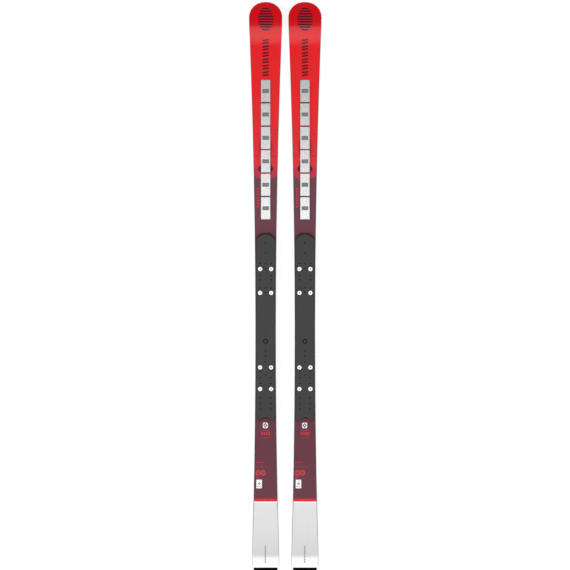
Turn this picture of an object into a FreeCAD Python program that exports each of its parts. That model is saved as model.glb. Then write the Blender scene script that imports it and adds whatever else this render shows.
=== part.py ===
import FreeCAD, Part

import math
import os

os.makedirs("parts", exist_ok=True)

# A pair of giant-slalom race skis, each carrying a race plate and six shear dampers.
# Millimetres. +X across the pair, +Y towards the tips, +Z up. The origin lies midway
# between the skis, on the snow, at half the pair's length.

# ---- driving dimensions -----------------------------------------------------------

SKI_PITCH = 125.4            # centreline to centreline

# plan outline of one ski
WAIST_WIDTH = 65.0
WAIST_Y = -150.0
SIDECUT_RADIUS = 24000.0
TIP_BLEND_Y = 820.0          # the sidecut ends here and the nose begins
TIP_BLEND_RADIUS = 960.0
NOSE_Y = 858.8               # the nose's corner arcs begin here
NOSE_CORNER_RADIUS = 48.0
NOSE_RADIUS = 65.0
NOSE_CENTRE_Y = 842.5
TAIL_BLEND_Y = -862.0        # the sidecut ends here and the tail draws in
TAIL_BLEND_RADIUS = 196.0
BODY_END_Y = -889.0          # the laminate ends
LIP_END_Y = -896.6
TAIL_Y = -907.5
TIP_Y = 907.5

# side profile of one ski
REAR_CONTACT_Y = -862.0
FRONT_CONTACT_Y = 757.0
CAMBER = 5.0
SHOVEL_RADIUS = 272.0
TAIL_KICK_RADIUS = 207.0
PLATE_SEAT_REAR_Y = -440.0   # the top is level from here ...
PLATE_SEAT_FRONT_Y = 180.0   # ... to here
TOP_Z = 21.0
DAMPER_SEAT_REAR_Y = 205.0   # the top is one sloping plane from here ...
DAMPER_SEAT_FRONT_Y = 665.0  # ... to here
DAMPER_SEAT_SLOPE = -0.0245
FRONT_CONTACT_THICKNESS = 7.5
TIP_THICKNESS = 6.0
REAR_CONTACT_THICKNESS = 8.0
TAIL_TAPER = 0.018           # slope of the top where it reaches the rear contact

# laminate, from the base up
BASE_THICKNESS = 1.4
EDGE_HEIGHT = 2.0
EDGE_WIDTH = 2.0
EDGE_FLANGE_REACH = 6.0      # from the ski's outline to the flange's inner end
SHEET_THICKNESS = 0.8
SHEET_INSET = 0.4
TOPSHEET_THICKNESS = 0.8
SIDEWALL_SLANT = 0.138       # how far the sidewalls lean in, per unit of their height
TOPSHEET_BEVEL = 0.4
SIDEWALL_REACH = 9.0         # from the ski's outline to the wood
CORE_FRONT_Y = 790.0
CORE_REAR_Y = -850.0

# tail protector
PROTECTOR_INSET = 2.2
PROTECTOR_CORNER_RADIUS = 5.0
PROTECTOR_FOOT = 0.4
PROTECTOR_TOP_DROP = 0.8

# shear dampers
TILE_COUNT = 6
TILE_PITCH = 74.8
FIRST_TILE_Y = 623.6
TILE_LENGTH = 70.7
TILE_WIDTH = 29.6
TILE_THICKNESS = 2.2
TILE_EDGE = 0.35
TILE_CORNER_RADIUS = 1.2
TILE_GAP = 0.12              # running gap between pad and tile
PAD_THICKNESS = 1.6
PAD_INSET = 0.8
WINDOW_WIDTH = 21.0
WINDOW_LENGTH = 12.2
WINDOW_CORNER_RADIUS = 1.0
BLOCK_WIDTH = 20.0
BLOCK_LENGTH = 10.0
BLOCK_DROP = 0.4             # the block's top lies this far below the tile's
BLOCK_POCKET = 5.6
BLOCK_POCKET_X = 6.2
BLOCK_POCKET_DEPTH = 0.9

# race plate
PLATE_WIDTH = 59.0
PLATE_FRONT_Y = 166.0
PLATE_SHOULDER_Y = 149.0
PLATE_REAR_Y = -427.0
PLATE_THICKNESS = 10.0
PLATE_CHAMFER = 0.7
NOTCH_WIDTH = 38.0
NOTCH_DEPTH = 10.0
MAT_THICKNESS = 2.0
MAT_INSET = 1.5
BUMPER_FRONT_Y = 172.0
BUMPER_SIDE_Y = 153.0
BUMPER_HALF_WIDTH = 30.5
BUMPER_HEIGHT = 10.8
BUMPER_NOTCH_WIDTH = 12.0
BUMPER_NOTCH_DEPTH = 4.2

# plate screws
SCREW_ROWS_Y = [55.8, -20.4, -258.4, -327.0]
SCREW_X = 17.55
SCREW_HEAD_RADIUS = 7.0
SCREW_HEAD_HEIGHT = 2.8
SCREW_HEAD_EDGE = 0.7
SCREW_SHANK_RADIUS = 2.75
SCREW_DEPTH_IN_SKI = 9.5
SCREW_POINT_LENGTH = 2.0
DRIVE_WIDTH = 1.5
DRIVE_LENGTH = 5.6
DRIVE_DEPTH = 2.0
DRIVE_PIT_RADIUS = 1.5
WASHER_RADIUS = 8.2
WASHER_THICKNESS = 0.9
RECESS_RADIUS = 8.4
RECESS_DEPTH = 4.0
SHANK_CLEARANCE_RADIUS = 3.4

# pilot holes for toe and heel pieces, as (x, y) pairs that repeat on both sides
PILOT_RADIUS = 2.05
PILOT_DEPTH = 8.0
TOE_X = 17.5
TOE_ROWS_Y = [73.0, 35.4, 21.4, -4.8]
HEEL_X = 16.3
HEEL_ROWS_Y = [-270.0, -290.9, -309.1, -355.7, -373.2, -390.8]
CENTRE_ROW_Y = [140.0, 107.0, 73.0, 56.0, -4.8, -19.0, -205.4, -221.4, -240.8, -282.3]

# round cap at the plate's boot-centre mark
HUB_Y = -175.1
HUB_RADIUS = 8.75
HUB_DEPTH = 3.0
HUB_GROOVE_OUTER = 8.1
HUB_GROOVE_INNER = 4.3
HUB_GROOVE_DEPTH = 1.2

MAX_STATION_STEP = 28.0
NOSE_MARGIN = 5.0            # how far a nose blank stands outside its outline
NOSE_OVERRUN = 1.0           # how far it runs past the tip
CLOSE = 0.01                 # places nearer than this are the same place
FAR = 200.0                  # larger than anything measured across one ski

V = FreeCAD.Vector
SMOOTH_BREAKS = [
    TAIL_Y,
    BODY_END_Y,
    TAIL_BLEND_Y,
    PLATE_SEAT_REAR_Y,
    PLATE_SEAT_FRONT_Y,
    DAMPER_SEAT_REAR_Y,
    DAMPER_SEAT_FRONT_Y,
    FRONT_CONTACT_Y,
    TIP_BLEND_Y,
    NOSE_Y,
    TIP_Y + NOSE_OVERRUN,
]


# ---- plan and side profile --------------------------------------------------------

def sidecut(y):
    return WAIST_WIDTH / 2 + (y - WAIST_Y) ** 2 / (2 * SIDECUT_RADIUS)


def half_width(y):
    """Half the ski's width at y, before the nose's round end."""
    if y > TIP_BLEND_Y:
        run = min(y, NOSE_Y) - TIP_BLEND_Y
        slope = (TIP_BLEND_Y - WAIST_Y) / SIDECUT_RADIUS
        return sidecut(TIP_BLEND_Y) + slope * run - run ** 2 / (2 * TIP_BLEND_RADIUS)
    if y < TAIL_BLEND_Y:
        run = TAIL_BLEND_Y - y
        slope = (WAIST_Y - TAIL_BLEND_Y) / SIDECUT_RADIUS
        return sidecut(TAIL_BLEND_Y) + slope * run - run ** 2 / (2 * TAIL_BLEND_RADIUS)
    return sidecut(y)


def base_z(y):
    """Height of the running surface: camber, shovel and tail kick."""
    if y > FRONT_CONTACT_Y:
        run = y - FRONT_CONTACT_Y
        return SHOVEL_RADIUS - math.sqrt(SHOVEL_RADIUS ** 2 - run ** 2)
    if y < REAR_CONTACT_Y:
        return (REAR_CONTACT_Y - y) ** 2 / (2 * TAIL_KICK_RADIUS)
    middle = (FRONT_CONTACT_Y + REAR_CONTACT_Y) / 2
    half = (FRONT_CONTACT_Y - REAR_CONTACT_Y) / 2
    return CAMBER * (1 - ((y - middle) / half) ** 2) ** 2


def hermite(y, y0, z0, m0, y1, z1, m1):
    """Cubic from (y0, z0) with slope m0 to (y1, z1) with slope m1."""
    run = y1 - y0
    t = (y - y0) / run
    return (
        z0 * (1 + 2 * t) * (1 - t) ** 2
        + m0 * run * t * (1 - t) ** 2
        + z1 * t * t * (3 - 2 * t)
        - m1 * run * t * t * (1 - t)
    )


def damper_seat_z(y):
    """The sloping plane under the dampers."""
    start = TOP_Z + DAMPER_SEAT_SLOPE * (DAMPER_SEAT_REAR_Y - PLATE_SEAT_FRONT_Y) / 2
    return start + DAMPER_SEAT_SLOPE * (y - DAMPER_SEAT_REAR_Y)


def top_z(y):
    """Height of the top of the laminate."""
    if y > FRONT_CONTACT_Y:
        share = (y - FRONT_CONTACT_Y) / (TIP_Y - FRONT_CONTACT_Y)
        thin = (FRONT_CONTACT_THICKNESS - TIP_THICKNESS) * share ** 2
        return base_z(y) + FRONT_CONTACT_THICKNESS - thin
    if y > DAMPER_SEAT_FRONT_Y:
        return hermite(
            y,
            DAMPER_SEAT_FRONT_Y, damper_seat_z(DAMPER_SEAT_FRONT_Y), DAMPER_SEAT_SLOPE,
            FRONT_CONTACT_Y, FRONT_CONTACT_THICKNESS, 0.0,
        )
    if y > DAMPER_SEAT_REAR_Y:
        return damper_seat_z(y)
    if y > PLATE_SEAT_FRONT_Y:
        run = y - PLATE_SEAT_FRONT_Y
        whole = DAMPER_SEAT_REAR_Y - PLATE_SEAT_FRONT_Y
        return TOP_Z + DAMPER_SEAT_SLOPE * run ** 2 / (2 * whole)
    if y >= PLATE_SEAT_REAR_Y:
        return TOP_Z
    if y > REAR_CONTACT_Y:
        return hermite(
            y,
            REAR_CONTACT_Y, REAR_CONTACT_THICKNESS, TAIL_TAPER,
            PLATE_SEAT_REAR_Y, TOP_Z, 0.0,
        )
    return base_z(y) + REAR_CONTACT_THICKNESS - TAIL_TAPER * (REAR_CONTACT_Y - y)


def above_base(height):
    return ("base", height)


def below_top(depth):
    return ("top", -depth)


def height_at(level, y):
    surface, offset = level
    return (base_z(y) if surface == "base" else top_z(y)) + offset


def rim_inset(y):
    """How far in the slanted sidewalls bring the top at y."""
    y = min(y, NOSE_Y)
    laminate = EDGE_HEIGHT + 2 * SHEET_THICKNESS + TOPSHEET_THICKNESS
    return SHEET_INSET + SIDEWALL_SLANT * (top_z(y) - base_z(y) - laminate)


def bevelled_rim_inset(y):
    return rim_inset(y) + TOPSHEET_BEVEL


def inset_at(inset, y):
    """An inset is a constant distance from the outline, or a function of y."""
    return inset(y) if callable(inset) else inset


BOTTOM = above_base(0.0)
BASE_TOP = above_base(BASE_THICKNESS)
EDGE_TOP = above_base(EDGE_HEIGHT)
LOWER_SHEET_TOP = above_base(EDGE_HEIGHT + SHEET_THICKNESS)
UPPER_SHEET_BOTTOM = below_top(TOPSHEET_THICKNESS + SHEET_THICKNESS)
TOPSHEET_BOTTOM = below_top(TOPSHEET_THICKNESS)
TOP = below_top(0.0)


# ---- long pieces that follow both profiles -----------------------------------------

RAILS = {}


def rail(side, inset, level, index):
    """One lengthwise curve between two neighbouring breaks, in from the outline by the
    inset. Its parameter is y, so pieces that touch share their faces."""
    key = (side, inset, level, index)
    if key not in RAILS:
        y0, y1 = SMOOTH_BREAKS[index], SMOOTH_BREAKS[index + 1]
        count = max(4, math.ceil((y1 - y0) / MAX_STATION_STEP))
        stations = [y0 + (y1 - y0) * i / count for i in range(count + 1)]
        points = [
            V(side * (half_width(y) - inset_at(inset, y)), y, height_at(level, y))
            for y in stations
        ]
        curve = Part.BSplineCurve()
        curve.interpolate(Points=points, Parameters=stations)
        RAILS[key] = curve
    return RAILS[key]


def section_face(section, y, index):
    """The flat cross-section at y."""
    points = [rail(*corner, index).value(y) for corner in section]
    return Part.Face(Part.makePolygon(points + points[:1]))


def sewn_solid(faces):
    shell = Part.makeShell(faces)
    shell.sewShape()
    solid = Part.makeSolid(shell.Shells[0])
    if solid.Volume < 0:
        solid.reverse()
    return solid


def bar(section, y0, y1):
    """Solid whose cross-section corners run along rails from y0 to y1. The section
    lists the corners in order as (side, inset from the outline, level)."""
    faces = []
    for index in range(len(SMOOTH_BREAKS) - 1):
        low = max(y0, SMOOTH_BREAKS[index])
        high = min(y1, SMOOTH_BREAKS[index + 1])
        if low >= high:
            continue
        edges = [rail(*corner, index).toShape(low, high) for corner in section]
        for first, second in zip(edges, edges[1:] + edges[:1]):
            faces.append(Part.makeRuledSurface(first, second))
        if low == y0:
            faces.append(section_face(section, low, index))
        if high == y1:
            faces.append(section_face(section, high, index))
    return sewn_solid(faces)


def layer(bottom_inset, bottom, top_inset, top, y0, y1):
    """A full-width layer between two levels."""
    section = [
        (-1, bottom_inset, bottom),
        (1, bottom_inset, bottom),
        (1, top_inset, top),
        (-1, top_inset, top),
    ]
    return bar(section, y0, y1)


def nose_outline(inset):
    """The D-shaped plan of the round nose, drawn in by inset."""
    corner_x = half_width(NOSE_Y) - NOSE_CORNER_RADIUS
    along = math.atan2(NOSE_Y - NOSE_CENTRE_Y, corner_x)
    corner = NOSE_CORNER_RADIUS - inset
    side = V(corner_x + corner, NOSE_Y, 0)
    middle = V(corner_x + corner * math.cos(along / 2), NOSE_Y + corner * math.sin(along / 2), 0)
    join = V(corner_x + corner * math.cos(along), NOSE_Y + corner * math.sin(along), 0)
    apex = V(0, NOSE_CENTRE_Y + NOSE_RADIUS - inset, 0)
    far_join, far_middle, far_side = [V(-p.x, p.y, 0) for p in (join, middle, side)]
    edges = [
        Part.Arc(side, middle, join).toShape(),
        Part.Arc(join, apex, far_join).toShape(),
        Part.Arc(far_join, far_middle, far_side).toShape(),
        Part.makeLine(far_side, side),
    ]
    return Part.Face(Part.Wire(edges))


def nose_cap(inset, bottom, top):
    """The round end of a layer, from the nose's corner arcs to the tip."""
    margin = -NOSE_MARGIN
    block = layer(margin, bottom, margin, top, NOSE_Y - NOSE_MARGIN, TIP_Y + NOSE_OVERRUN)
    return block.common(nose_outline(inset).extrude(V(0, 0, FAR))).Solids[0]


def joined(*shapes):
    return shapes[0].multiFuse(list(shapes[1:])).removeSplitter().Solids[0]


def cylinders(places, radius, z0, z1):
    return Part.Compound([Part.makeCylinder(radius, z1 - z0, V(x, y, z0)) for x, y in places])


SCREW_PLACES = [(side * SCREW_X, y) for y in SCREW_ROWS_Y for side in (-1, 1)]
SCREW_TIP_Z = TOP_Z - SCREW_DEPTH_IN_SKI


def screw_shanks():
    """Everything the screws take out of the ski."""
    bottom = SCREW_TIP_Z + SCREW_POINT_LENGTH
    shanks = [Part.makeCylinder(SCREW_SHANK_RADIUS, FAR, V(x, y, bottom)) for x, y in SCREW_PLACES]
    points = [
        Part.makeCone(0, SCREW_SHANK_RADIUS, SCREW_POINT_LENGTH, V(x, y, SCREW_TIP_Z))
        for x, y in SCREW_PLACES
    ]
    return [shank.fuse(point) for shank, point in zip(shanks, points)]


def drilled(shape):
    return shape.cut(Part.Compound(screw_shanks())).Solids[0]


def running_base():
    between_edges = layer(EDGE_WIDTH, BOTTOM, EDGE_WIDTH, BASE_TOP, BODY_END_Y, TIP_BLEND_Y)
    ahead_of_edges = layer(0.0, BOTTOM, 0.0, BASE_TOP, TIP_BLEND_Y, NOSE_Y)
    return joined(between_edges, ahead_of_edges, nose_cap(0.0, BOTTOM, BASE_TOP))


def steel_edge(side):
    section = [
        (side, 0.0, BOTTOM),
        (side, 0.0, EDGE_TOP),
        (side, EDGE_FLANGE_REACH, EDGE_TOP),
        (side, EDGE_FLANGE_REACH, BASE_TOP),
        (side, EDGE_WIDTH, BASE_TOP),
        (side, EDGE_WIDTH, BOTTOM),
    ]
    return bar(section, BODY_END_Y, TIP_BLEND_Y)


def edge_foil():
    reach = EDGE_FLANGE_REACH
    between_edges = layer(reach, BASE_TOP, reach, EDGE_TOP, BODY_END_Y, TIP_BLEND_Y)
    ahead_of_edges = layer(0.0, BASE_TOP, 0.0, EDGE_TOP, TIP_BLEND_Y, NOSE_Y)
    return joined(between_edges, ahead_of_edges, nose_cap(0.0, BASE_TOP, EDGE_TOP))


def lower_sheet():
    strip = layer(SHEET_INSET, EDGE_TOP, SHEET_INSET, LOWER_SHEET_TOP, BODY_END_Y, NOSE_Y)
    return joined(strip, nose_cap(SHEET_INSET, EDGE_TOP, LOWER_SHEET_TOP))


def wood_core():
    reach = SIDEWALL_REACH
    return drilled(layer(reach, LOWER_SHEET_TOP, reach, UPPER_SHEET_BOTTOM, CORE_REAR_Y, CORE_FRONT_Y))


def sidewall(side):
    section = [
        (side, SHEET_INSET, LOWER_SHEET_TOP),
        (side, rim_inset, UPPER_SHEET_BOTTOM),
        (side, SIDEWALL_REACH, UPPER_SHEET_BOTTOM),
        (side, SIDEWALL_REACH, LOWER_SHEET_TOP),
    ]
    return bar(section, CORE_REAR_Y, CORE_FRONT_Y)


def core_end(y0, y1):
    """The filler that takes the core's place at the tip and the tail."""
    return layer(SHEET_INSET, LOWER_SHEET_TOP, rim_inset, UPPER_SHEET_BOTTOM, y0, y1)


def tip_filler():
    cap = nose_cap(SHEET_INSET, LOWER_SHEET_TOP, UPPER_SHEET_BOTTOM)
    return joined(core_end(CORE_FRONT_Y, NOSE_Y), cap)


def upper_sheet():
    strip = layer(rim_inset, UPPER_SHEET_BOTTOM, rim_inset, TOPSHEET_BOTTOM, BODY_END_Y, NOSE_Y)
    return joined(drilled(strip), nose_cap(rim_inset(NOSE_Y), UPPER_SHEET_BOTTOM, TOPSHEET_BOTTOM))


def topsheet():
    strip = layer(rim_inset, TOPSHEET_BOTTOM, bevelled_rim_inset, TOP, BODY_END_Y, NOSE_Y)
    nose_inset = rim_inset(NOSE_Y) + TOPSHEET_BEVEL / 2
    return joined(drilled(strip), nose_cap(nose_inset, TOPSHEET_BOTTOM, TOP))


def tail_lip():
    section = [
        (-1, 0.0, BOTTOM),
        (1, 0.0, BOTTOM),
        (1, 0.0, EDGE_TOP),
        (1, rim_inset, TOP),
        (-1, rim_inset, TOP),
        (-1, 0.0, EDGE_TOP),
    ]
    return bar(section, LIP_END_Y, BODY_END_Y)


def tail_protector():
    inset = PROTECTOR_INSET
    foot, head = above_base(PROTECTOR_FOOT), below_top(PROTECTOR_TOP_DROP)
    block = layer(inset, foot, inset + PROTECTOR_FOOT, head, TAIL_Y, LIP_END_Y)
    rear_corners = [
        edge
        for edge in block.Edges
        if all(abs(vertex.Y - TAIL_Y) < CLOSE for vertex in edge.Vertexes)
        and edge.Vertexes[0].X * edge.Vertexes[-1].X > 0
    ]
    return block.makeFillet(PROTECTOR_CORNER_RADIUS, rear_corners).Solids[0]


# ---- shear dampers -----------------------------------------------------------------

def rounded_box(width, length, thickness, radius, z=0.0):
    box = Part.makeBox(width, length, thickness, V(-width / 2, -length / 2, z))
    upright = [edge for edge in box.Edges if abs(edge.BoundBox.ZLength - thickness) < CLOSE]
    return box.makeFillet(radius, upright)


def edges_at(shape, z):
    """The edges that lie at the height z."""
    return [edge for edge in shape.Edges if all(abs(v.Z - z) < CLOSE for v in edge.Vertexes)]


def on_damper_seat(shape, index):
    """Moves a shape drawn about the origin to the seat of damper number index."""
    y = FIRST_TILE_Y - index * TILE_PITCH
    tilt = math.degrees(math.atan(DAMPER_SEAT_SLOPE))
    placed = shape.copy()
    placed.Placement = FreeCAD.Placement(
        V(0, y, damper_seat_z(y)), FreeCAD.Rotation(V(1, 0, 0), tilt)
    )
    return placed


def damper_tile(index):
    low = PAD_THICKNESS + TILE_GAP
    tile = rounded_box(TILE_WIDTH, TILE_LENGTH, TILE_THICKNESS, TILE_CORNER_RADIUS, low)
    tile = tile.makeChamfer(TILE_EDGE, edges_at(tile, low + TILE_THICKNESS))
    window = rounded_box(WINDOW_WIDTH, WINDOW_LENGTH, FAR, WINDOW_CORNER_RADIUS)
    return on_damper_seat(tile.cut(window).Solids[0], index)


def damper_pad(index):
    width, length = TILE_WIDTH - 2 * PAD_INSET, TILE_LENGTH - 2 * PAD_INSET
    pad = rounded_box(width, length, PAD_THICKNESS, TILE_CORNER_RADIUS)
    hole = rounded_box(BLOCK_WIDTH, BLOCK_LENGTH, FAR, WINDOW_CORNER_RADIUS)
    return on_damper_seat(pad.cut(hole).Solids[0], index)


def damper_block(index):
    height = PAD_THICKNESS + TILE_GAP + TILE_THICKNESS - BLOCK_DROP
    block = rounded_box(BLOCK_WIDTH, BLOCK_LENGTH, height, WINDOW_CORNER_RADIUS)
    for side in (-1, 1):
        pocket = rounded_box(BLOCK_POCKET, BLOCK_POCKET, FAR, TILE_EDGE, height - BLOCK_POCKET_DEPTH)
        pocket.translate(V(side * BLOCK_POCKET_X, 0, 0))
        block = block.cut(pocket)
    return on_damper_seat(block.Solids[0], index)


def each_damper(make):
    return Part.Compound([make(index) for index in range(TILE_COUNT)])


# ---- race plate --------------------------------------------------------------------

PLATE_Z = TOP_Z + MAT_THICKNESS
PLATE_TOP_Z = PLATE_Z + PLATE_THICKNESS


def plate_outline(inset, z):
    """Round front, straight sides, and a square rear end with a domed notch."""
    half = PLATE_WIDTH / 2 - inset
    rear = PLATE_REAR_Y + inset
    notch_half = NOTCH_WIDTH / 2 + inset
    notch_top = PLATE_REAR_Y + NOTCH_DEPTH + inset
    shoulder = V(half, PLATE_SHOULDER_Y, z)
    front = V(0, PLATE_FRONT_Y - inset, z)
    left_shoulder = V(-half, PLATE_SHOULDER_Y, z)
    corners = [V(half, rear, z), V(notch_half, rear, z), V(-notch_half, rear, z), V(-half, rear, z)]
    edges = [
        Part.Arc(shoulder, front, left_shoulder).toShape(),
        Part.makeLine(left_shoulder, corners[3]),
        Part.makeLine(corners[3], corners[2]),
        Part.Arc(corners[2], V(0, notch_top, z), corners[1]).toShape(),
        Part.makeLine(corners[1], corners[0]),
        Part.makeLine(corners[0], shoulder),
    ]
    return Part.Face(Part.Wire(edges))


def plate_mat():
    mat = plate_outline(MAT_INSET, TOP_Z).extrude(V(0, 0, MAT_THICKNESS))
    return mat.cut(cylinders(SCREW_PLACES, SCREW_SHANK_RADIUS, 0, FAR)).Solids[0]


def pilot_places():
    toe = [(side * TOE_X, y) for y in TOE_ROWS_Y for side in (-1, 1)]
    heel = [(side * HEEL_X, y) for y in HEEL_ROWS_Y for side in (-1, 1)]
    centre = [(0.0, y) for y in CENTRE_ROW_Y]
    return toe + heel + centre


def plate():
    block = plate_outline(0.0, PLATE_Z).extrude(V(0, 0, PLATE_THICKNESS))
    block = block.makeChamfer(PLATE_CHAMFER, edges_at(block, PLATE_TOP_Z))
    cuts = [
        cylinders(SCREW_PLACES, SHANK_CLEARANCE_RADIUS, 0, FAR),
        cylinders(SCREW_PLACES, RECESS_RADIUS, PLATE_TOP_Z - RECESS_DEPTH, FAR),
        cylinders(pilot_places(), PILOT_RADIUS, PLATE_TOP_Z - PILOT_DEPTH, FAR),
        cylinders([(0.0, HUB_Y)], HUB_RADIUS, PLATE_TOP_Z - HUB_DEPTH, FAR),
    ]
    for cut in cuts:
        block = block.cut(cut)
    return block.Solids[0]


def plate_bumper():
    """Crescent that closes the gap in front of the plate, notched at its middle."""
    side = V(BUMPER_HALF_WIDTH, BUMPER_SIDE_Y, TOP_Z)
    far_side = V(-BUMPER_HALF_WIDTH, BUMPER_SIDE_Y, TOP_Z)
    outer = Part.Arc(side, V(0, BUMPER_FRONT_Y, TOP_Z), far_side).toShape()
    foot = V(BUMPER_HALF_WIDTH, PLATE_SHOULDER_Y, TOP_Z)
    far_foot = V(-BUMPER_HALF_WIDTH, PLATE_SHOULDER_Y, TOP_Z)
    lines = [Part.makeLine(far_side, far_foot), Part.makeLine(far_foot, foot), Part.makeLine(foot, side)]
    block = Part.Face(Part.Wire([outer] + lines)).extrude(V(0, 0, BUMPER_HEIGHT))
    top_edges = edges_at(block, TOP_Z + BUMPER_HEIGHT)
    front_arc = [edge for edge in top_edges if edge.BoundBox.YMax > BUMPER_SIDE_Y + CLOSE]
    block = block.makeChamfer(PLATE_CHAMFER, front_arc)
    block = block.cut(plate_outline(0.0, 0.0).extrude(V(0, 0, FAR)))
    notch = Part.makeBox(
        BUMPER_NOTCH_WIDTH, BUMPER_NOTCH_DEPTH, FAR,
        V(-BUMPER_NOTCH_WIDTH / 2, BUMPER_FRONT_Y - BUMPER_NOTCH_DEPTH, 0),
    )
    return block.cut(notch).Solids[0]


HEAD_SEAT_Z = PLATE_TOP_Z - RECESS_DEPTH + WASHER_THICKNESS


def plate_screw(x, y, shank):
    head = Part.makeCylinder(SCREW_HEAD_RADIUS, SCREW_HEAD_HEIGHT, V(x, y, HEAD_SEAT_Z))
    top = HEAD_SEAT_Z + SCREW_HEAD_HEIGHT
    head = head.makeFillet(SCREW_HEAD_EDGE, edges_at(head, top))
    below_head = Part.makeBox(FAR, FAR, HEAD_SEAT_Z, V(x - FAR / 2, y - FAR / 2, 0))
    screw = head.fuse(shank.common(below_head))
    for width, length in ((DRIVE_WIDTH, DRIVE_LENGTH), (DRIVE_LENGTH, DRIVE_WIDTH)):
        corner = V(x - width / 2, y - length / 2, top - DRIVE_DEPTH)
        screw = screw.cut(Part.makeBox(width, length, FAR, corner))
    pit = Part.makeCylinder(DRIVE_PIT_RADIUS, FAR, V(x, y, top - DRIVE_DEPTH))
    return screw.cut(pit).Solids[0]


def plate_screws():
    shanks = screw_shanks()
    return Part.Compound([plate_screw(x, y, shank) for (x, y), shank in zip(SCREW_PLACES, shanks)])


def plate_washers():
    low, high = PLATE_TOP_Z - RECESS_DEPTH, HEAD_SEAT_Z
    discs = cylinders(SCREW_PLACES, WASHER_RADIUS, low, high)
    return discs.cut(cylinders(SCREW_PLACES, SCREW_SHANK_RADIUS, 0, FAR))


def plate_hub():
    disc = Part.makeCylinder(HUB_RADIUS, HUB_DEPTH, V(0, HUB_Y, PLATE_TOP_Z - HUB_DEPTH))
    low = PLATE_TOP_Z - HUB_GROOVE_DEPTH
    ring = Part.makeCylinder(HUB_GROOVE_OUTER, FAR, V(0, HUB_Y, low))
    ring = ring.cut(Part.makeCylinder(HUB_GROOVE_INNER, FAR, V(0, HUB_Y, low)))
    return disc.cut(ring).Solids[0]


# ---- the pair ----------------------------------------------------------------------

def ski_pieces():
    """Every piece of one ski, centred on x = 0."""
    pieces = {
        "running_base": running_base(),
        "edge_foil": edge_foil(),
        "lower_sheet": lower_sheet(),
        "wood_core": wood_core(),
        "tip_filler": tip_filler(),
        "tail_filler": core_end(BODY_END_Y, CORE_REAR_Y),
        "upper_sheet": upper_sheet(),
        "topsheet": topsheet(),
        "tail_lip": tail_lip(),
        "tail_protector": tail_protector(),
        "damper_pads": each_damper(damper_pad),
        "damper_blocks": each_damper(damper_block),
        "plate_mat": plate_mat(),
        "plate": plate(),
        "plate_bumper": plate_bumper(),
        "plate_screws": plate_screws(),
        "plate_washers": plate_washers(),
        "plate_hub": plate_hub(),
    }
    for index in range(TILE_COUNT):
        pieces["damper_tile_%d" % (index + 1)] = damper_tile(index)
    return pieces


def sided_pieces(inner_side):
    """The steel edges and sidewalls, named from where the other ski lies."""
    return {
        "edge_inner": steel_edge(inner_side),
        "edge_outer": steel_edge(-inner_side),
        "sidewall_inner": sidewall(inner_side),
        "sidewall_outer": sidewall(-inner_side),
    }


shared = ski_pieces()
for ski, ski_side in (("left", -1), ("right", 1)):
    for name, piece in {**shared, **sided_pieces(-ski_side)}.items():
        moved = piece.copy()
        moved.translate(V(ski_side * SKI_PITCH / 2, 0, 0))
        moved.exportStep("parts/%s_%s.step" % (ski, name))
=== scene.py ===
import math

import bmesh
import bpy
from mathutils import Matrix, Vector


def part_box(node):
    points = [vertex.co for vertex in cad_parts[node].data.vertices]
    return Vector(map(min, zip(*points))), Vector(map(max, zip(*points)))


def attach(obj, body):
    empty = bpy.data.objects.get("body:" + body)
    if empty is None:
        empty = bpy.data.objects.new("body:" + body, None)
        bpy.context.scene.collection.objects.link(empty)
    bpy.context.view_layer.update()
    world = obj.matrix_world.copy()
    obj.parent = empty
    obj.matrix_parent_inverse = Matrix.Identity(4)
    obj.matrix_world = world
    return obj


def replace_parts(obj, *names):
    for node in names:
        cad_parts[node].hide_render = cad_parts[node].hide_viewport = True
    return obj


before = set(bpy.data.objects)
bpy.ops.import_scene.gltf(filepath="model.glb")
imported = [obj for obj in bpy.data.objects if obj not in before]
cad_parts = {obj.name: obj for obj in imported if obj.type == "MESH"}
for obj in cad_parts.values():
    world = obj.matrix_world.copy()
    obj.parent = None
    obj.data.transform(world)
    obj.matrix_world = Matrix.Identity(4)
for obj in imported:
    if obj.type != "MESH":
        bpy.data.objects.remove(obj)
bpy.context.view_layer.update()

# A pair of giant-slalom race skis seen from above. Metres, with +Y towards the tips.
# The long profiles below are the ones that the frame's pieces were built with.

MM = 0.001
SKIS = ("left", "right")

# ---- profiles of one ski, in millimetres --------------------------------------------

WAIST_WIDTH = 65.0
WAIST_Y = -150.0
SIDECUT_RADIUS = 24000.0
TIP_BLEND_Y = 820.0
TIP_BLEND_RADIUS = 960.0
NOSE_Y = 858.8
NOSE_CORNER_RADIUS = 48.0
NOSE_RADIUS = 65.0
NOSE_CENTRE_Y = 842.5
TAIL_BLEND_Y = -862.0
TAIL_BLEND_RADIUS = 196.0
BODY_END_Y = -889.0
TIP_Y = 907.5

REAR_CONTACT_Y = -862.0
FRONT_CONTACT_Y = 757.0
CAMBER = 5.0
SHOVEL_RADIUS = 272.0
TAIL_KICK_RADIUS = 207.0
PLATE_SEAT_REAR_Y = -440.0
PLATE_SEAT_FRONT_Y = 180.0
TOP_Z = 21.0
DAMPER_SEAT_REAR_Y = 205.0
DAMPER_SEAT_FRONT_Y = 665.0
DAMPER_SEAT_SLOPE = -0.0245
FRONT_CONTACT_THICKNESS = 7.5
TIP_THICKNESS = 6.0
REAR_CONTACT_THICKNESS = 8.0
TAIL_TAPER = 0.018

TILE_COUNT = 6

EDGE_HEIGHT = 2.0
SHEET_THICKNESS = 0.8
SHEET_INSET = 0.4
SIDEWALL_SLANT = 0.138
TOPSHEET_THICKNESS = 0.8
TOPSHEET_ROUNDING = 0.4


def sidecut(y):
    """Half the width of the sidecut's arc at y."""
    return WAIST_WIDTH / 2 + (y - WAIST_Y) ** 2 / (2 * SIDECUT_RADIUS)


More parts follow.
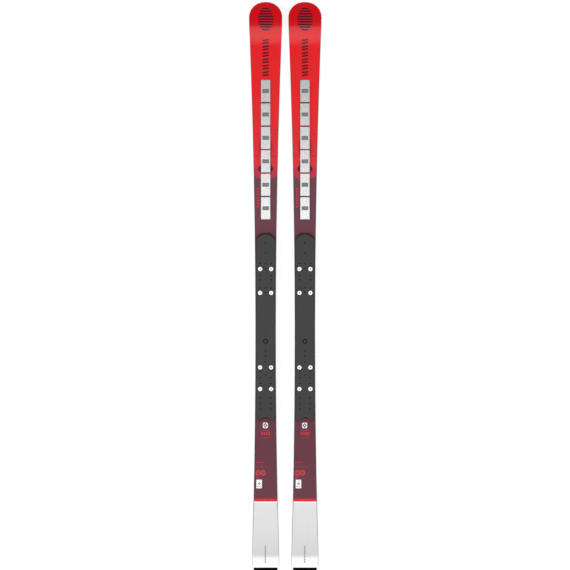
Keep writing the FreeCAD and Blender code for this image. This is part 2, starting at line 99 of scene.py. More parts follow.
def half_width(y):
    """Distance from the centreline to the ski's outline at y."""
    if y > TIP_BLEND_Y:
        run = min(y, NOSE_Y) - TIP_BLEND_Y
        slope = (TIP_BLEND_Y - WAIST_Y) / SIDECUT_RADIUS
        return sidecut(TIP_BLEND_Y) + slope * run - run ** 2 / (2 * TIP_BLEND_RADIUS)
    if y < TAIL_BLEND_Y:
        run = TAIL_BLEND_Y - y
        slope = (WAIST_Y - TAIL_BLEND_Y) / SIDECUT_RADIUS
        return sidecut(TAIL_BLEND_Y) + slope * run - run ** 2 / (2 * TAIL_BLEND_RADIUS)
    return sidecut(y)


def base_z(y):
    """Height of the running base's lower face."""
    if y > FRONT_CONTACT_Y:
        run = y - FRONT_CONTACT_Y
        return SHOVEL_RADIUS - math.sqrt(SHOVEL_RADIUS ** 2 - run ** 2)
    if y < REAR_CONTACT_Y:
        return (REAR_CONTACT_Y - y) ** 2 / (2 * TAIL_KICK_RADIUS)
    centre = (FRONT_CONTACT_Y + REAR_CONTACT_Y) / 2
    half = (FRONT_CONTACT_Y - REAR_CONTACT_Y) / 2
    return CAMBER * (1 - ((y - centre) / half) ** 2) ** 2


def hermite(y, y0, z0, m0, y1, z1, m1):
    """Cubic from (y0, z0) with slope m0 to (y1, z1) with slope m1."""
    run = y1 - y0
    t = (y - y0) / run
    return (
        z0 * (1 + 2 * t) * (1 - t) ** 2
        + m0 * run * t * (1 - t) ** 2
        + z1 * t * t * (3 - 2 * t)
        - m1 * run * t * t * (1 - t)
    )


def damper_seat_z(y):
    """Height of the sloping plane that the dampers sit on."""
    start = TOP_Z + DAMPER_SEAT_SLOPE * (DAMPER_SEAT_REAR_Y - PLATE_SEAT_FRONT_Y) / 2
    return start + DAMPER_SEAT_SLOPE * (y - DAMPER_SEAT_REAR_Y)


def top_z(y):
    """Height of the topsheet's upper face."""
    if y > FRONT_CONTACT_Y:
        share = (y - FRONT_CONTACT_Y) / (TIP_Y - FRONT_CONTACT_Y)
        thin = (FRONT_CONTACT_THICKNESS - TIP_THICKNESS) * share ** 2
        return base_z(y) + FRONT_CONTACT_THICKNESS - thin
    if y > DAMPER_SEAT_FRONT_Y:
        return hermite(
            y,
            DAMPER_SEAT_FRONT_Y, damper_seat_z(DAMPER_SEAT_FRONT_Y), DAMPER_SEAT_SLOPE,
            FRONT_CONTACT_Y, FRONT_CONTACT_THICKNESS, 0.0,
        )
    if y > DAMPER_SEAT_REAR_Y:
        return damper_seat_z(y)
    if y > PLATE_SEAT_FRONT_Y:
        run = y - PLATE_SEAT_FRONT_Y
        return TOP_Z + DAMPER_SEAT_SLOPE * run ** 2 / (2 * (DAMPER_SEAT_REAR_Y - PLATE_SEAT_FRONT_Y))
    if y >= PLATE_SEAT_REAR_Y:
        return TOP_Z
    if y > REAR_CONTACT_Y:
        return hermite(
            y,
            REAR_CONTACT_Y, REAR_CONTACT_THICKNESS, TAIL_TAPER,
            PLATE_SEAT_REAR_Y, TOP_Z, 0.0,
        )
    return base_z(y) + REAR_CONTACT_THICKNESS - TAIL_TAPER * (REAR_CONTACT_Y - y)


def rim_inset(y):
    """How far in the slanted sidewalls bring the topsheet's rim at y."""
    y = min(y, NOSE_Y)
    laminate = EDGE_HEIGHT + 2 * SHEET_THICKNESS + TOPSHEET_THICKNESS
    return SHEET_INSET + SIDEWALL_SLANT * (top_z(y) - base_z(y) - laminate)


def rim_x(y):
    """Distance from the centreline to the topsheet's rim at y."""
    return half_width(y) - rim_inset(y)


def centre_x(ski):
    """Where the ski's centreline runs, in millimetres."""
    low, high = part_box(ski + "_plate")
    return (low.x + high.x) / 2 / MM


# ---- materials ----------------------------------------------------------------------

def linear(red, green, blue):
    """Linear colour from display values between 0 and 255."""
    channels = [value / 255 for value in (red, green, blue)]
    return tuple(c / 12.92 if c <= 0.04045 else ((c + 0.055) / 1.055) ** 2.4 for c in channels) + (1.0,)


def shade(colour, factor):
    return tuple(min(1.0, channel * factor) for channel in colour[:3]) + (1.0,)


BLACK = (0.0, 0.0, 0.0, 1.0)
FULL = (1.0, 1.0, 1.0, 1.0)


class Surface:
    """One procedural material: a shader with nodes added to it step by step."""

    def __init__(self, name, roughness, metallic=0.0, specular=0.5, coat=0.0, coat_roughness=0.1):
        self.material = bpy.data.materials.new(name)
        self.material.use_nodes = True
        self.tree = self.material.node_tree
        self.tree.nodes.clear()
        output = self.tree.nodes.new("ShaderNodeOutputMaterial")
        self.shader = self.tree.nodes.new("ShaderNodeBsdfPrincipled")
        self.shader.inputs["Roughness"].default_value = roughness
        self.shader.inputs["Metallic"].default_value = metallic
        self.shader.inputs["Specular IOR Level"].default_value = specular
        self.shader.inputs["Coat Weight"].default_value = coat
        self.shader.inputs["Coat Roughness"].default_value = coat_roughness
        self.tree.links.new(self.shader.outputs["BSDF"], output.inputs["Surface"])
        self.place = self.tree.nodes.new("ShaderNodeTexCoord").outputs["Object"]

    def link(self, output, node, socket):
        self.tree.links.new(output, node.inputs[socket])

    def stretched(self, scale):
        """Object coordinates multiplied by scale, which stretches a pattern along its small axes."""
        mapping = self.tree.nodes.new("ShaderNodeMapping")
        mapping.inputs["Scale"].default_value = scale
        self.link(self.place, mapping, "Vector")
        return mapping.outputs["Vector"]

    def noise(self, scale, detail=3.0, roughness=0.55):
        """Noise with scale features per metre along each axis."""
        texture = self.tree.nodes.new("ShaderNodeTexNoise")
        texture.inputs["Scale"].default_value = 1.0
        texture.inputs["Detail"].default_value = detail
        texture.inputs["Roughness"].default_value = roughness
        self.link(self.stretched(scale), texture, "Vector")
        return texture.outputs["Fac"]

    def waves(self, scale, direction, distortion=0.0):
        texture = self.tree.nodes.new("ShaderNodeTexWave")
        texture.bands_direction = direction
        texture.inputs["Scale"].default_value = scale
        texture.inputs["Distortion"].default_value = distortion
        self.link(self.place, texture, "Vector")
        return texture.outputs["Fac"]

    def cells(self, scale):
        texture = self.tree.nodes.new("ShaderNodeTexVoronoi")
        texture.inputs["Scale"].default_value = scale
        self.link(self.place, texture, "Vector")
        return texture.outputs["Distance"]

    def along(self, axis, low, high):
        """0 to 1 as the axis coordinate goes from low to high."""
        parts = self.tree.nodes.new("ShaderNodeSeparateXYZ")
        self.link(self.place, parts, "Vector")
        span = self.tree.nodes.new("ShaderNodeMapRange")
        span.inputs["From Min"].default_value = low
        span.inputs["From Max"].default_value = high
        self.link(parts.outputs[axis], span, "Value")
        return span.outputs["Result"]

    def within(self, axis, low, high):
        """1 between low and high on the axis, 0 outside."""
        span = high - low
        position = self.along(axis, low - span, high + span)
        enter, leave, soft = 0.335, 0.665, 0.001
        return self.ramp(position, [
            (0.0, BLACK),
            (enter - soft, BLACK),
            (enter + soft, FULL),
            (leave - soft, FULL),
            (leave + soft, BLACK),
        ])

    def ramp(self, factor, stops):
        ramp = self.tree.nodes.new("ShaderNodeValToRGB")
        elements = ramp.color_ramp.elements
        while len(elements) < len(stops):
            elements.new(0.5)
        for element, (position, colour) in zip(elements, stops):
            element.position = position
            element.color = colour
        self.link(factor, ramp, "Fac")
        return ramp.outputs["Color"]

    def between(self, factor, low, high):
        """A factor of 0 to 1 stretched to run from low to high."""
        span = self.tree.nodes.new("ShaderNodeMapRange")
        span.inputs["To Min"].default_value = low
        span.inputs["To Max"].default_value = high
        self.link(factor, span, "Value")
        return span.outputs["Result"]

    def mixed(self, factor, first, second, most=1.0):
        """first where the factor is low, second (or that much of it) where it is high."""
        amount = self.between(factor, 0.0, most)
        mix = self.tree.nodes.new("ShaderNodeMix")
        mix.data_type = "RGBA"
        self.link(amount, mix, 0)
        for socket, value in ((6, first), (7, second)):
            if isinstance(value, tuple):
                mix.inputs[socket].default_value = value
            else:
                self.link(value, mix, socket)
        return mix.outputs[2]

    def multiplied(self, first, second):
        """The product of two colours."""
        mix = self.tree.nodes.new("ShaderNodeMix")
        mix.data_type = "RGBA"
        mix.blend_type = "MULTIPLY"
        mix.inputs[0].default_value = 1.0
        self.link(first, mix, 6)
        self.link(second, mix, 7)
        return mix.outputs[2]

    def colour(self, output):
        self.link(output, self.shader, "Base Color")
        return self

    def shine(self, factor, low, high):
        """Specular level between low and high."""
        self.link(self.between(factor, low, high), self.shader, "Specular IOR Level")
        return self

    def gloss(self, factor, low, high):
        """Roughness between low and high."""
        self.link(self.between(factor, low, high), self.shader, "Roughness")
        return self

    def bump(self, height, depth, strength=1.0):
        """Relief of that depth in metres."""
        node = self.tree.nodes.new("ShaderNodeBump")
        node.inputs["Distance"].default_value = depth
        node.inputs["Strength"].default_value = strength
        self.link(height, node, "Height")
        self.link(node.outputs["Normal"], self.shader, "Normal")
        return self


EVEN = (1200.0, 1200.0, 1200.0)


def speckled(name, colour, spread, grain, roughness, roughness_spread, relief, **shader):
    """A material whose colour, gloss and relief all follow one stretched noise."""
    surface = Surface(name, roughness, **shader)
    noise = surface.noise(grain)
    surface.colour(surface.mixed(noise, shade(colour, 1 - spread), shade(colour, 1 + spread)))
    surface.gloss(noise, roughness - roughness_spread, roughness + roughness_spread)
    return surface.bump(noise, relief).material


PRINT_STREAKS = (420.0, 2.5, 40.0)
PRINT_GLOSS_GRAIN = (900.0, 300.0, 900.0)
PRINT_RELIEF_GRAIN = (1500.0, 1500.0, 1500.0)
SHEET_ROUGHNESS = 0.38
INK_ROUGHNESS = 0.42


def lacquered(name, roughness):
    """A clear-coated surface without its colour, and the streaks that tint every print."""
    surface = Surface(name, roughness, specular=0.04, coat=0.35, coat_roughness=0.13)
    surface.gloss(surface.noise(PRINT_GLOSS_GRAIN), roughness - 0.05, roughness + 0.05)
    surface.bump(surface.noise(PRINT_RELIEF_GRAIN), 0.00001)
    return surface, surface.noise(PRINT_STREAKS, detail=2.0)


def printed(name, stops, low_y, high_y):
    """Print whose colour runs through stops from low_y to high_y, with fine lengthwise streaks."""
    surface, streaks = lacquered(name, SHEET_ROUGHNESS)
    position = surface.along("Y", low_y * MM, high_y * MM)
    base = surface.ramp(position, stops)
    dark = surface.ramp(position, [(place, shade(colour, 0.86)) for place, colour in stops])
    return surface.colour(surface.mixed(streaks, base, dark, 0.75)).material


def printed_evenly(name, colour, low_y, high_y):
    return printed(name, [(0.0, colour), (1.0, colour)], low_y, high_y)


RED = linear(227, 27, 32)
# Painted shade: the nose's darker red stands in for the shovel turning away from the light.
SHADED_TIP_RED = linear(201, 2, 11)
CRIMSON = linear(190, 50, 71)
PLUM = linear(109, 65, 76)
INK = linear(64, 18, 34)
TAIL_GREY = linear(225, 225, 225)
WHITE = linear(254, 254, 254)
BAND_RED = linear(230, 36, 41)
PLASTIC_DARK = linear(41, 41, 42)
PLASTIC_PALE = linear(47, 47, 48)


def printed_ink(name, colour):
    """A single ink, with the same streaks and coat as the sheet under it."""
    surface, streaks = lacquered(name, INK_ROUGHNESS)
    return surface.colour(surface.mixed(streaks, shade(colour, 1.06), shade(colour, 0.88))).material


def red_print():
    """The forebody's red, darker at the nose as painted shade on the upturned shovel, and crimson where
    it meets the plum.
    """
    low, high = 335.0, TIP_Y

    def at(y):
        return (y - low) / (high - low)

    stops = [
        (at(350), CRIMSON),
        (at(373), CRIMSON),
        (at(385), linear(218, 50, 56)),
        (at(450), linear(219, 44, 49)),
        (at(560), linear(226, 36, 38)),
        (at(690), RED),
        (at(790), RED),
        (at(850), SHADED_TIP_RED),
        (at(900), SHADED_TIP_RED),
    ]
    return printed("print_red", stops, low, high)


def wood():
    """Vertical laminations of ash and poplar, each a few millimetres wide."""
    surface = Surface("wood_laminate", 0.6)
    grain = surface.noise((900.0, 12.0, 900.0), detail=5.0)
    strips = surface.waves(70.0, "X", 0.4)
    pale = surface.mixed(grain, linear(205, 172, 122), linear(226, 197, 150))
    dark = surface.mixed(grain, linear(176, 138, 90), linear(198, 162, 112))
    surface.colour(surface.mixed(strips, pale, dark))
    return surface.bump(grain, 0.00005).material


def sintered_base():
    """Black sintered polyethylene with a fine stone-ground structure."""
    surface = Surface("sintered_base", 0.42, specular=0.4)
    speckle = surface.noise((2600.0, 2600.0, 2600.0), detail=2.0)
    surface.colour(surface.mixed(speckle, linear(14, 14, 15), linear(34, 34, 36)))
    surface.gloss(speckle, 0.36, 0.5)
    return surface.bump(surface.waves(420.0, "X", 0.6), 0.00002, 0.6).material


def steel_edges():
    """Ground steel with fine lines along the ski."""
    surface = Surface("edge_steel_ground", 0.3, metallic=1.0)
    lines = surface.noise((2500.0, 6.0, 2500.0), detail=4.0)
    surface.colour(surface.mixed(lines, linear(88, 90, 94), linear(132, 134, 138)))
    surface.gloss(lines, 0.24, 0.4)
    return surface.bump(lines, 0.00002).material


def blasted_tiles():
    """Bead-blasted aluminium with a tiny all-over dimple, mottled, and with painted light: near white at
    the rear, grey towards the tip.
    """
    surface = Surface("tile_blasted", 0.46, metallic=1.0)
    dimples = surface.noise((1400.0, 1400.0, 1400.0), detail=3.0)
    front_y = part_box("left_damper_tile_1")[1].y
    rear_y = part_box("left_damper_tile_%d" % TILE_COUNT)[0].y
    # Painted highlight and shade: the colour runs from near white at the rear tile to grey at the front
    # one, for the overhead light that falls off towards the tips.
    painted_light_rear_to_front = [(0.0, linear(249, 250, 249)), (1.0, linear(180, 182, 182))]
    base = surface.ramp(surface.along("Y", rear_y, front_y), painted_light_rear_to_front)
    blasted = surface.mixed(dimples, base, linear(190, 190, 191), 0.5)
    clouds = surface.noise((350.0, 350.0, 350.0), detail=1.0)
    mottle = surface.ramp(clouds, [(0.28, linear(213, 213, 213)), (0.72, FULL)])
    surface.colour(surface.multiplied(blasted, mottle))
    surface.gloss(dimples, 0.4, 0.54)
    return surface.bump(dimples, 0.00004).material


def grained_plate(ski):
    """Moulded dark-grey plastic with a leather-like grain, with painted shade, near black, inside each
    hole and recess in its top.
    """
    surface = Surface("plate_grained_" + ski, 0.52, specular=0.4)
    grain = surface.cells(900.0)
    cloud = surface.noise((40.0, 12.0, 40.0), detail=2.0)
    low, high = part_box(ski + "_plate")
    side_margin, end_margin = 6 * MM, 12 * MM
    skin = surface.mixed(cloud, PLASTIC_DARK, PLASTIC_PALE)
    between_sides = surface.within("X", low.x + side_margin, high.x - side_margin)
    between_ends = surface.within("Y", low.y + end_margin, high.y - end_margin)
    # Painted shade: below the top face and away from the plate's sides and ends, each hole and recess
    # wall is coloured near black and given little specular.
    hole_shade = surface.mixed(between_sides, skin, linear(3, 3, 3))
    below = surface.mixed(between_ends, skin, hole_shade)
    height = surface.along("Z", high.z - 0.5 * MM, high.z - 0.2 * MM)
    surface.colour(surface.mixed(height, below, skin))
    surface.shine(height, 0.05, 0.4)
    surface.gloss(grain, 0.46, 0.6)
    return surface.bump(grain, 0.00006, 0.5).material


def turned_steel():
    """Bright zinc-plated steel, with painted shade in the drive recess and down the side."""
    surface = Surface("screw_bright", 0.45, metallic=1.0)
    marks = surface.noise((1800.0, 1800.0, 300.0), detail=4.0)
    head_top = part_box("left_plate_screws")[1].z
    worn = surface.mixed(marks, linear(228, 229, 230), linear(246, 246, 247))
    # Painted shade: below the head's top, in the drive recess and down the side, the colour is dark.
    recess_shade = surface.mixed(marks, linear(34, 34, 36), linear(52, 52, 54))
    height = surface.along("Z", head_top - 0.8 * MM, head_top - 0.5 * MM)
    surface.colour(surface.mixed(height, recess_shade, worn))
    surface.gloss(marks, 0.4, 0.5)
    return surface.bump(marks, 0.00002).material


def grooved_cap():
    """Plastic cap of the plate's colour, with painted shade, near black, at the bottom of its groove."""
    surface = Surface("hub_cap", 0.5, specular=0.4)
    grain = surface.noise(EVEN)
    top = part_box("left_plate_hub")[1].z
    skin = surface.mixed(grain, PLASTIC_DARK, PLASTIC_PALE)
    height = surface.along("Z", top - 0.6 * MM, top - 0.2 * MM)
    # Painted shade: the groove's bottom is coloured near black and given less specular.
    surface.colour(surface.mixed(height, linear(20, 20, 20), skin))
    surface.shine(height, 0.1, 0.4)
    surface.gloss(grain, 0.44, 0.56)
    return surface.bump(grain, 0.00004).material


def milled_sidewall():
    """Black phenol sidewall, planed along its length."""
    surface = Surface("sidewall_milled", 0.6, specular=0.05)
    lines = surface.noise((40.0, 5.0, 2200.0), detail=4.0)
    surface.colour(surface.mixed(lines, linear(8, 8, 9), linear(20, 19, 20)))
    surface.gloss(lines, 0.52, 0.7)
    return surface.bump(lines, 0.00003).material


def satin_tail_metal():
    """Bright metal with a fine grain across the ski."""
    surface = Surface("tail_satin", 0.36, metallic=1.0)
    lines = surface.noise((12.0, 2000.0, 2000.0), detail=4.0)
    surface.colour(surface.mixed(lines, linear(224, 225, 226), linear(240, 241, 242)))
    surface.gloss(lines, 0.3, 0.44)
    return surface.bump(lines, 0.00002).material


FILLER_GRAIN = (300.0, 60.0, 300.0)
ROLLED_GRAIN = (30.0, 900.0, 30.0)


def foil():
    return speckled("foil_black", linear(20, 20, 21), 0.2, EVEN, 0.7, 0.05, 0.00003)


def sheet_alloy():
    colour = linear(150, 152, 156)
    return speckled("sheet_alloy", colour, 0.1, ROLLED_GRAIN, 0.35, 0.06, 0.00001, metallic=1.0)


def tip_filler():
    return speckled("filler_red", linear(176, 18, 28), 0.1, FILLER_GRAIN, 0.45, 0.06, 0.00003)


def tail_filler():
    return speckled("filler_black", linear(24, 23, 24), 0.2, FILLER_GRAIN, 0.45, 0.06, 0.00003)


def tail_protector():
    return speckled("protector_black", linear(2, 2, 2), 0.25, EVEN, 0.8, 0.08, 0.00005, specular=0.0)


def pad_rubber():
    return speckled("pad_rubber", linear(34, 30, 32), 0.2, EVEN, 0.75, 0.06, 0.00006)


def block_plastic():
    return speckled("block_grey", linear(116, 116, 117), 0.06, EVEN, 0.5, 0.05, 0.00004)


def mat_rubber():
    return speckled("mat_rubber", linear(30, 29, 30), 0.2, EVEN, 0.8, 0.05, 0.00008)


def bumper_rubber():
    return speckled("bumper_rubber", linear(48, 33, 37), 0.25, EVEN, 0.6, 0.06, 0.00007, specular=0.1)


# Black plastic, darkened further as painted shade for the shadowed ring round each screw head.
def washer_plastic_and_ring_shade():
    return speckled("washer_black", linear(12, 12, 13), 0.2, EVEN, 0.5, 0.05, 0.00004, specular=0.1)


cad_materials = {
    "running_base": sintered_base(),
    "edge_inner": steel_edges(),
    "edge_foil": foil(),
    "lower_sheet": sheet_alloy(),
    "wood_core": wood(),
    "sidewall_inner": milled_sidewall(),
    "tip_filler": tip_filler(),
    "tail_filler": tail_filler(),
    "tail_lip": satin_tail_metal(),
    "tail_protector": tail_protector(),
    "damper_pads": pad_rubber(),
    "damper_blocks": block_plastic(),
    "damper_tile": blasted_tiles(),
    "plate_mat": mat_rubber(),
    "plate_bumper": bumper_rubber(),
    "plate_screws": turned_steel(),
    "plate_washers": washer_plastic_and_ring_shade(),
    "plate_hub": grooved_cap(),
}
cad_materials["edge_outer"] = cad_materials["edge_inner"]
cad_materials["sidewall_outer"] = cad_materials["sidewall_inner"]
cad_materials["upper_sheet"] = cad_materials["lower_sheet"]
plate_materials = {ski + "_plate": grained_plate(ski) for ski in SKIS}


def dress_cad_nodes():
    """Gives every kept CAD node its material. Printed pieces take the topsheet's place."""
    for node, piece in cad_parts.items():
        kind = node.split("_", 1)[1]
        if kind == "topsheet":
            continue
        if kind.startswith("damper_tile"):
            kind = "damper_tile"
        piece.data.materials.clear()
        piece.data.materials.append(plate_materials.get(node) or cad_materials[kind])


# ---- new pieces ---------------------------------------------------------------------

SHARP_ANGLE = math.radians(40)
CLOSE = 0.001


def add_piece(name, bm, material, ski):
    bmesh.ops.recalc_face_normals(bm, faces=bm.faces)
    mesh = bpy.data.meshes.new(name)
    bm.to_mesh(mesh)
    bm.free()
    mesh.shade_smooth()
    mesh.set_sharp_from_angle(angle=SHARP_ANGLE)
    mesh.materials.append(material)
    piece = bpy.data.objects.new(name, mesh)
    bpy.context.scene.collection.objects.link(piece)
    piece.modifiers.new("weighted", "WEIGHTED_NORMAL").keep_sharp = True
    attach(piece, ski + "_ski")
    return piece


def outline_faces(bm, outlines):
    """Adds a flat face at z = 0 for each outline."""
    for outline in outlines:
        bm.faces.new([bm.verts.new((x, y, 0)) for x, y in outline])


def cut_across(bm, step):
    """Cuts the flat faces by lines across the ski, so that they can follow its profile."""
    ys = [vert.co.y for vert in bm.verts]
    for index in range(math.floor(min(ys) / step) + 1, math.ceil(max(ys) / step)):
        bmesh.ops.bisect_plane(
            bm,
            geom=bm.verts[:] + bm.edges[:] + bm.faces[:],
            plane_co=(0, index * step, 0),
            plane_no=(0, 1, 0),
            dist=CLOSE,
        )


def thicken(bm, thickness):
    """Turns flat faces at z = 0 into closed solids that reach down by the thickness."""
    result = bmesh.ops.extrude_face_region(bm, geom=bm.faces[:])
    for element in result["geom"]:
        if isinstance(element, bmesh.types.BMVert):
            element.co.z = -thickness


def drape(bm, ski, lift=0.0):
    """Moves a solid drawn flat about the centreline onto the ski's upper face, in metres."""
    middle = centre_x(ski)
    for vert in bm.verts:
        x, y, z = vert.co
        vert.co = ((x + middle) * MM, y * MM, (z + top_z(y) + lift) * MM)


SIDE_STEP = 20.0
CURVED_STEP = 4.0
LEVEL_STEP = 12.0
NOSE_ARC_STEPS = 20


def mirrored(points):
    """The points' mirror image across the ski, in the opposite order."""
    return [(-x, y) for x, y in reversed(points)]


def side_points(y0, y1):
    """Points up the topsheet's right-hand rim from y0 to y1."""
    count = max(1, math.ceil((y1 - y0) / SIDE_STEP))
    ys = [y0 + (y1 - y0) * i / count for i in range(count + 1)]
    return [(rim_x(y), y) for y in ys]


def nose_points():
    """Points round the topsheet's nose, from the right-hand side to the left."""
    inset = rim_inset(NOSE_Y)
    corner_x = half_width(NOSE_Y) - NOSE_CORNER_RADIUS
    along = math.atan2(NOSE_Y - NOSE_CENTRE_Y, corner_x)
    corner, front = NOSE_CORNER_RADIUS - inset, NOSE_RADIUS - inset
    right = []
    for i in range(1, NOSE_ARC_STEPS):
        angle = along * i / NOSE_ARC_STEPS
        right.append((corner_x + corner * math.cos(angle), NOSE_Y + corner * math.sin(angle)))
    for i in range(NOSE_ARC_STEPS):
        angle = along + (math.pi / 2 - along) * i / NOSE_ARC_STEPS
        right.append((front * math.cos(angle), NOSE_CENTRE_Y + front * math.sin(angle)))
    return right + [(0.0, NOSE_CENTRE_Y + front)] + mirrored(right)


RED_ARC_Y = 340.0
RED_ARC_RADIUS = 51.4
RED_ARC_RISE = 12.0
ARC_STEPS = 16


def red_arc():
    """The print's round boundary, from left to right, bulging towards the tail."""
    reach = rim_x(RED_ARC_Y + RED_ARC_RISE)
    points = []
    for i in range(ARC_STEPS + 1):
        x = -reach + 2 * reach * i / ARC_STEPS
        points.append((x, RED_ARC_Y + RED_ARC_RADIUS - math.sqrt(RED_ARC_RADIUS ** 2 - x * x)))
    return points


def sheet_zone(name, outline, material, ski, step):
    """One printed stretch of the topsheet: a closed sheet with its outer rim rounded."""
    bm = bmesh.new()
    outline_faces(bm, [outline])
    thicken(bm, TOPSHEET_THICKNESS)
    rim = [edge for edge in bm.edges if on_rim(edge)]
    bmesh.ops.bevel(bm, geom=rim, offset=TOPSHEET_ROUNDING, segments=2, profile=0.5, affect="EDGES")
    cut_across(bm, step)
    drape(bm, ski)
    piece = add_piece(name, bm, material, ski)
    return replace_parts(piece, ski + "_topsheet")


def on_rim(edge):
    """Whether an edge of a flat sheet lies on its upper outline along the ski's side or nose."""
    if any(vert.co.z < -CLOSE for vert in edge.verts):
        return False
    for vert in edge.verts:
        at_side = abs(abs(vert.co.x) - rim_x(vert.co.y)) < 10 * CLOSE
        if not at_side and vert.co.y <= NOSE_Y:
            return False
    return abs(edge.verts[0].co.y - edge.verts[1].co.y) > CLOSE or edge.verts[0].co.y > NOSE_Y


def straight_zone(name, y0, y1, material, ski, step=LEVEL_STEP):
    """A printed zone whose ends run straight across the ski."""
    side = side_points(y0, y1)
    return sheet_zone(name, side + mirrored(side), material, ski, step)


BAND_FRONT_Y = -677.0
BAND_REAR_Y = -686.0
LINE_REAR_Y = -690.0
KICK_Y = -866.0


def print_zones():
    """The topsheet as zones of print that meet edge to edge, from the nose to the tail; at the nose and
    the kick their colour also holds painted shade and a painted highlight.
    """
    red = red_print()
    plum = printed("print_plum", [(0.0, linear(104, 55, 67)), (1.0, PLUM)], BAND_FRONT_Y, RED_ARC_Y)
    band = printed_evenly("print_band", BAND_RED, BAND_REAR_Y, BAND_FRONT_Y)
    # This white is the white line's print, and on the kick a painted highlight.
    white = printed_evenly("print_white_and_kick_highlight", WHITE, BODY_END_Y, BAND_REAR_Y)
    # Grey print, a little darker towards the kick; the near white at the kick end is a painted highlight
    # that fades into the white kick.
    tail_grey_and_highlight_stops = [
        (0.0, linear(246, 246, 246)),
        (0.062, linear(216, 216, 216)),
        (0.5, TAIL_GREY),
        (1.0, linear(229, 229, 229)),
    ]
    tail = printed("print_tail_with_highlight", tail_grey_and_highlight_stops, KICK_Y, LINE_REAR_Y)
    for ski in SKIS:
        arc = red_arc()
        edge_y = arc[0][1]
        front_side = side_points(edge_y, NOSE_Y)
        outline = front_side + nose_points() + mirrored(front_side) + arc[1:-1]
        sheet_zone(ski + "_topsheet_red", outline, red, ski, CURVED_STEP)
        plum_side = side_points(BAND_FRONT_Y, edge_y)
        outline = plum_side[:-1] + arc[::-1] + mirrored(plum_side[:-1])
        sheet_zone(ski + "_topsheet_plum", outline, plum, ski, LEVEL_STEP)
        straight_zone(ski + "_topsheet_band", BAND_REAR_Y, BAND_FRONT_Y, band, ski)
        straight_zone(ski + "_topsheet_line", LINE_REAR_Y, BAND_REAR_Y, white, ski)
        straight_zone(ski + "_topsheet_tail", KICK_Y, LINE_REAR_Y, tail, ski, CURVED_STEP)
        # Painted highlight: the upturned kick is printed white, brighter than the grey tail, for the
        # light it catches.
        straight_zone(ski + "_topsheet_kick", BODY_END_Y, KICK_Y, white, ski, CURVED_STEP)


# ---- printed marks: plain shapes, no lettering -----------------------------------------

PRINT_THICKNESS = 0.12
PRINT_PROUD = 0.04
OVERPRINT_PROUD = 0.08
ROUND_STEPS = 8
MARK_STEP = 4.0


def marks(name, outlines, material, ski, lift=PRINT_PROUD):
    """Ink shapes, each a thin closed solid that stands just proud of the sheet."""
    bm = bmesh.new()
    outline_faces(bm, outlines)
    cut_across(bm, MARK_STEP)
    thicken(bm, PRINT_THICKNESS)
    drape(bm, ski, lift)
    return add_piece(ski + "_" + name, bm, material, ski)


def rectangle(x0, x1, y0, y1):
    return [(x0, y0), (x1, y0), (x1, y1), (x0, y1)]


def slanted_block(x, y, width, length, lean):
    """A block centred on (x, y) whose ends lean, one side further forward by twice the lean."""
    half, reach = width / 2, length / 2
    return [
        (x - half, y - reach - lean),
        (x + half, y - reach + lean),
        (x + half, y + reach + lean),
        (x - half, y + reach - lean),
    ]


def rounded_rectangle(x0, x1, y0, y1, radius):
    points = []
    left, right = x0 + radius, x1 - radius
    rear, front = y0 + radius, y1 - radius
    for quarter, (x, y) in enumerate([(right, rear), (right, front), (left, front), (left, rear)]):
        for i in range(ROUND_STEPS + 1):
            angle = math.pi / 2 * (quarter - 1 + i / ROUND_STEPS)
            points.append((x + radius * math.cos(angle), y + radius * math.sin(angle)))
    return points


def both_sides(outline):
    """An outline and its mirror image."""
    return [outline, mirrored(outline)]


DASH_SHARES = (0.78, 0.5, 0.66)


def dash_row(x0, x1, y0, y1, count):
    """A row of dashes across the ski, of alternating width."""
    pitch = (x1 - x0) / count
    row = []
    for i in range(count):
        x = x0 + pitch * i
        row.append(rectangle(x, x + pitch * DASH_SHARES[i % len(DASH_SHARES)], y0, y1))
    return row


def diamond(x, y, across, along):
    return [(x, y - along), (x + across, y), (x, y + along), (x - across, y)]


def hexagon(x, y, across, along):
    """A hexagon centred on (x, y) with points at its front and rear."""
    corners = [(0, -1), (1, -0.5), (1, 0.5), (0, 1), (-1, 0.5), (-1, -0.5)]
    return [(x + across * i, y + along * j) for i, j in corners]


def ring(outer, inner):
    """The sides of a hollow shape between two outlines with the same number of points."""
    count = len(outer)
    ends = [(i, (i + 1) % count) for i in range(count)]
    return [[outer[i], outer[j], inner[j], inner[i]] for i, j in ends]


def tip_bars():
    """Nine cross bars that fill a lens shape on the shovel."""
    centre_y, half_length, half_across = 853.0, 38.0, 25.0
    count, fill, corner = 9, 0.62, 1.5
    pitch = 2 * half_length / count
    bars = []
    for i in range(count):
        y = centre_y + pitch * (i - (count - 1) / 2)
        reach = half_across * math.sqrt(1 - ((y - centre_y) / half_length) ** 2)
        bars.append(rounded_rectangle(-reach, reach, y - pitch * fill / 2, y + pitch * fill / 2, corner))
    return bars


def spine_bars():
    """Six pairs of slanted bars down the middle, ahead of the first damper."""
    front, rear, pairs = 792.0, 669.0, 6
    width, lean = 19.5, 1.6
    pitch = (front - rear) / pairs
    bars = []
    for i in range(pairs):
        y = front - pitch * (i + 0.5)
        for side in (-1, 1):
            bars.append(slanted_block(0, y + side * pitch * 0.22, width, pitch * 0.27, lean))
    return bars


def side_blocks():
    """Seven small slanted blocks beside the last two dampers."""
    x, front, rear, count = -24.6, 316.0, 251.0, 7
    width, lean = 6.6, 0.9
    pitch = (front - rear) / count
    return [slanted_block(x, front - pitch * (i + 0.5), width, pitch * 0.58, lean) for i in range(count)]


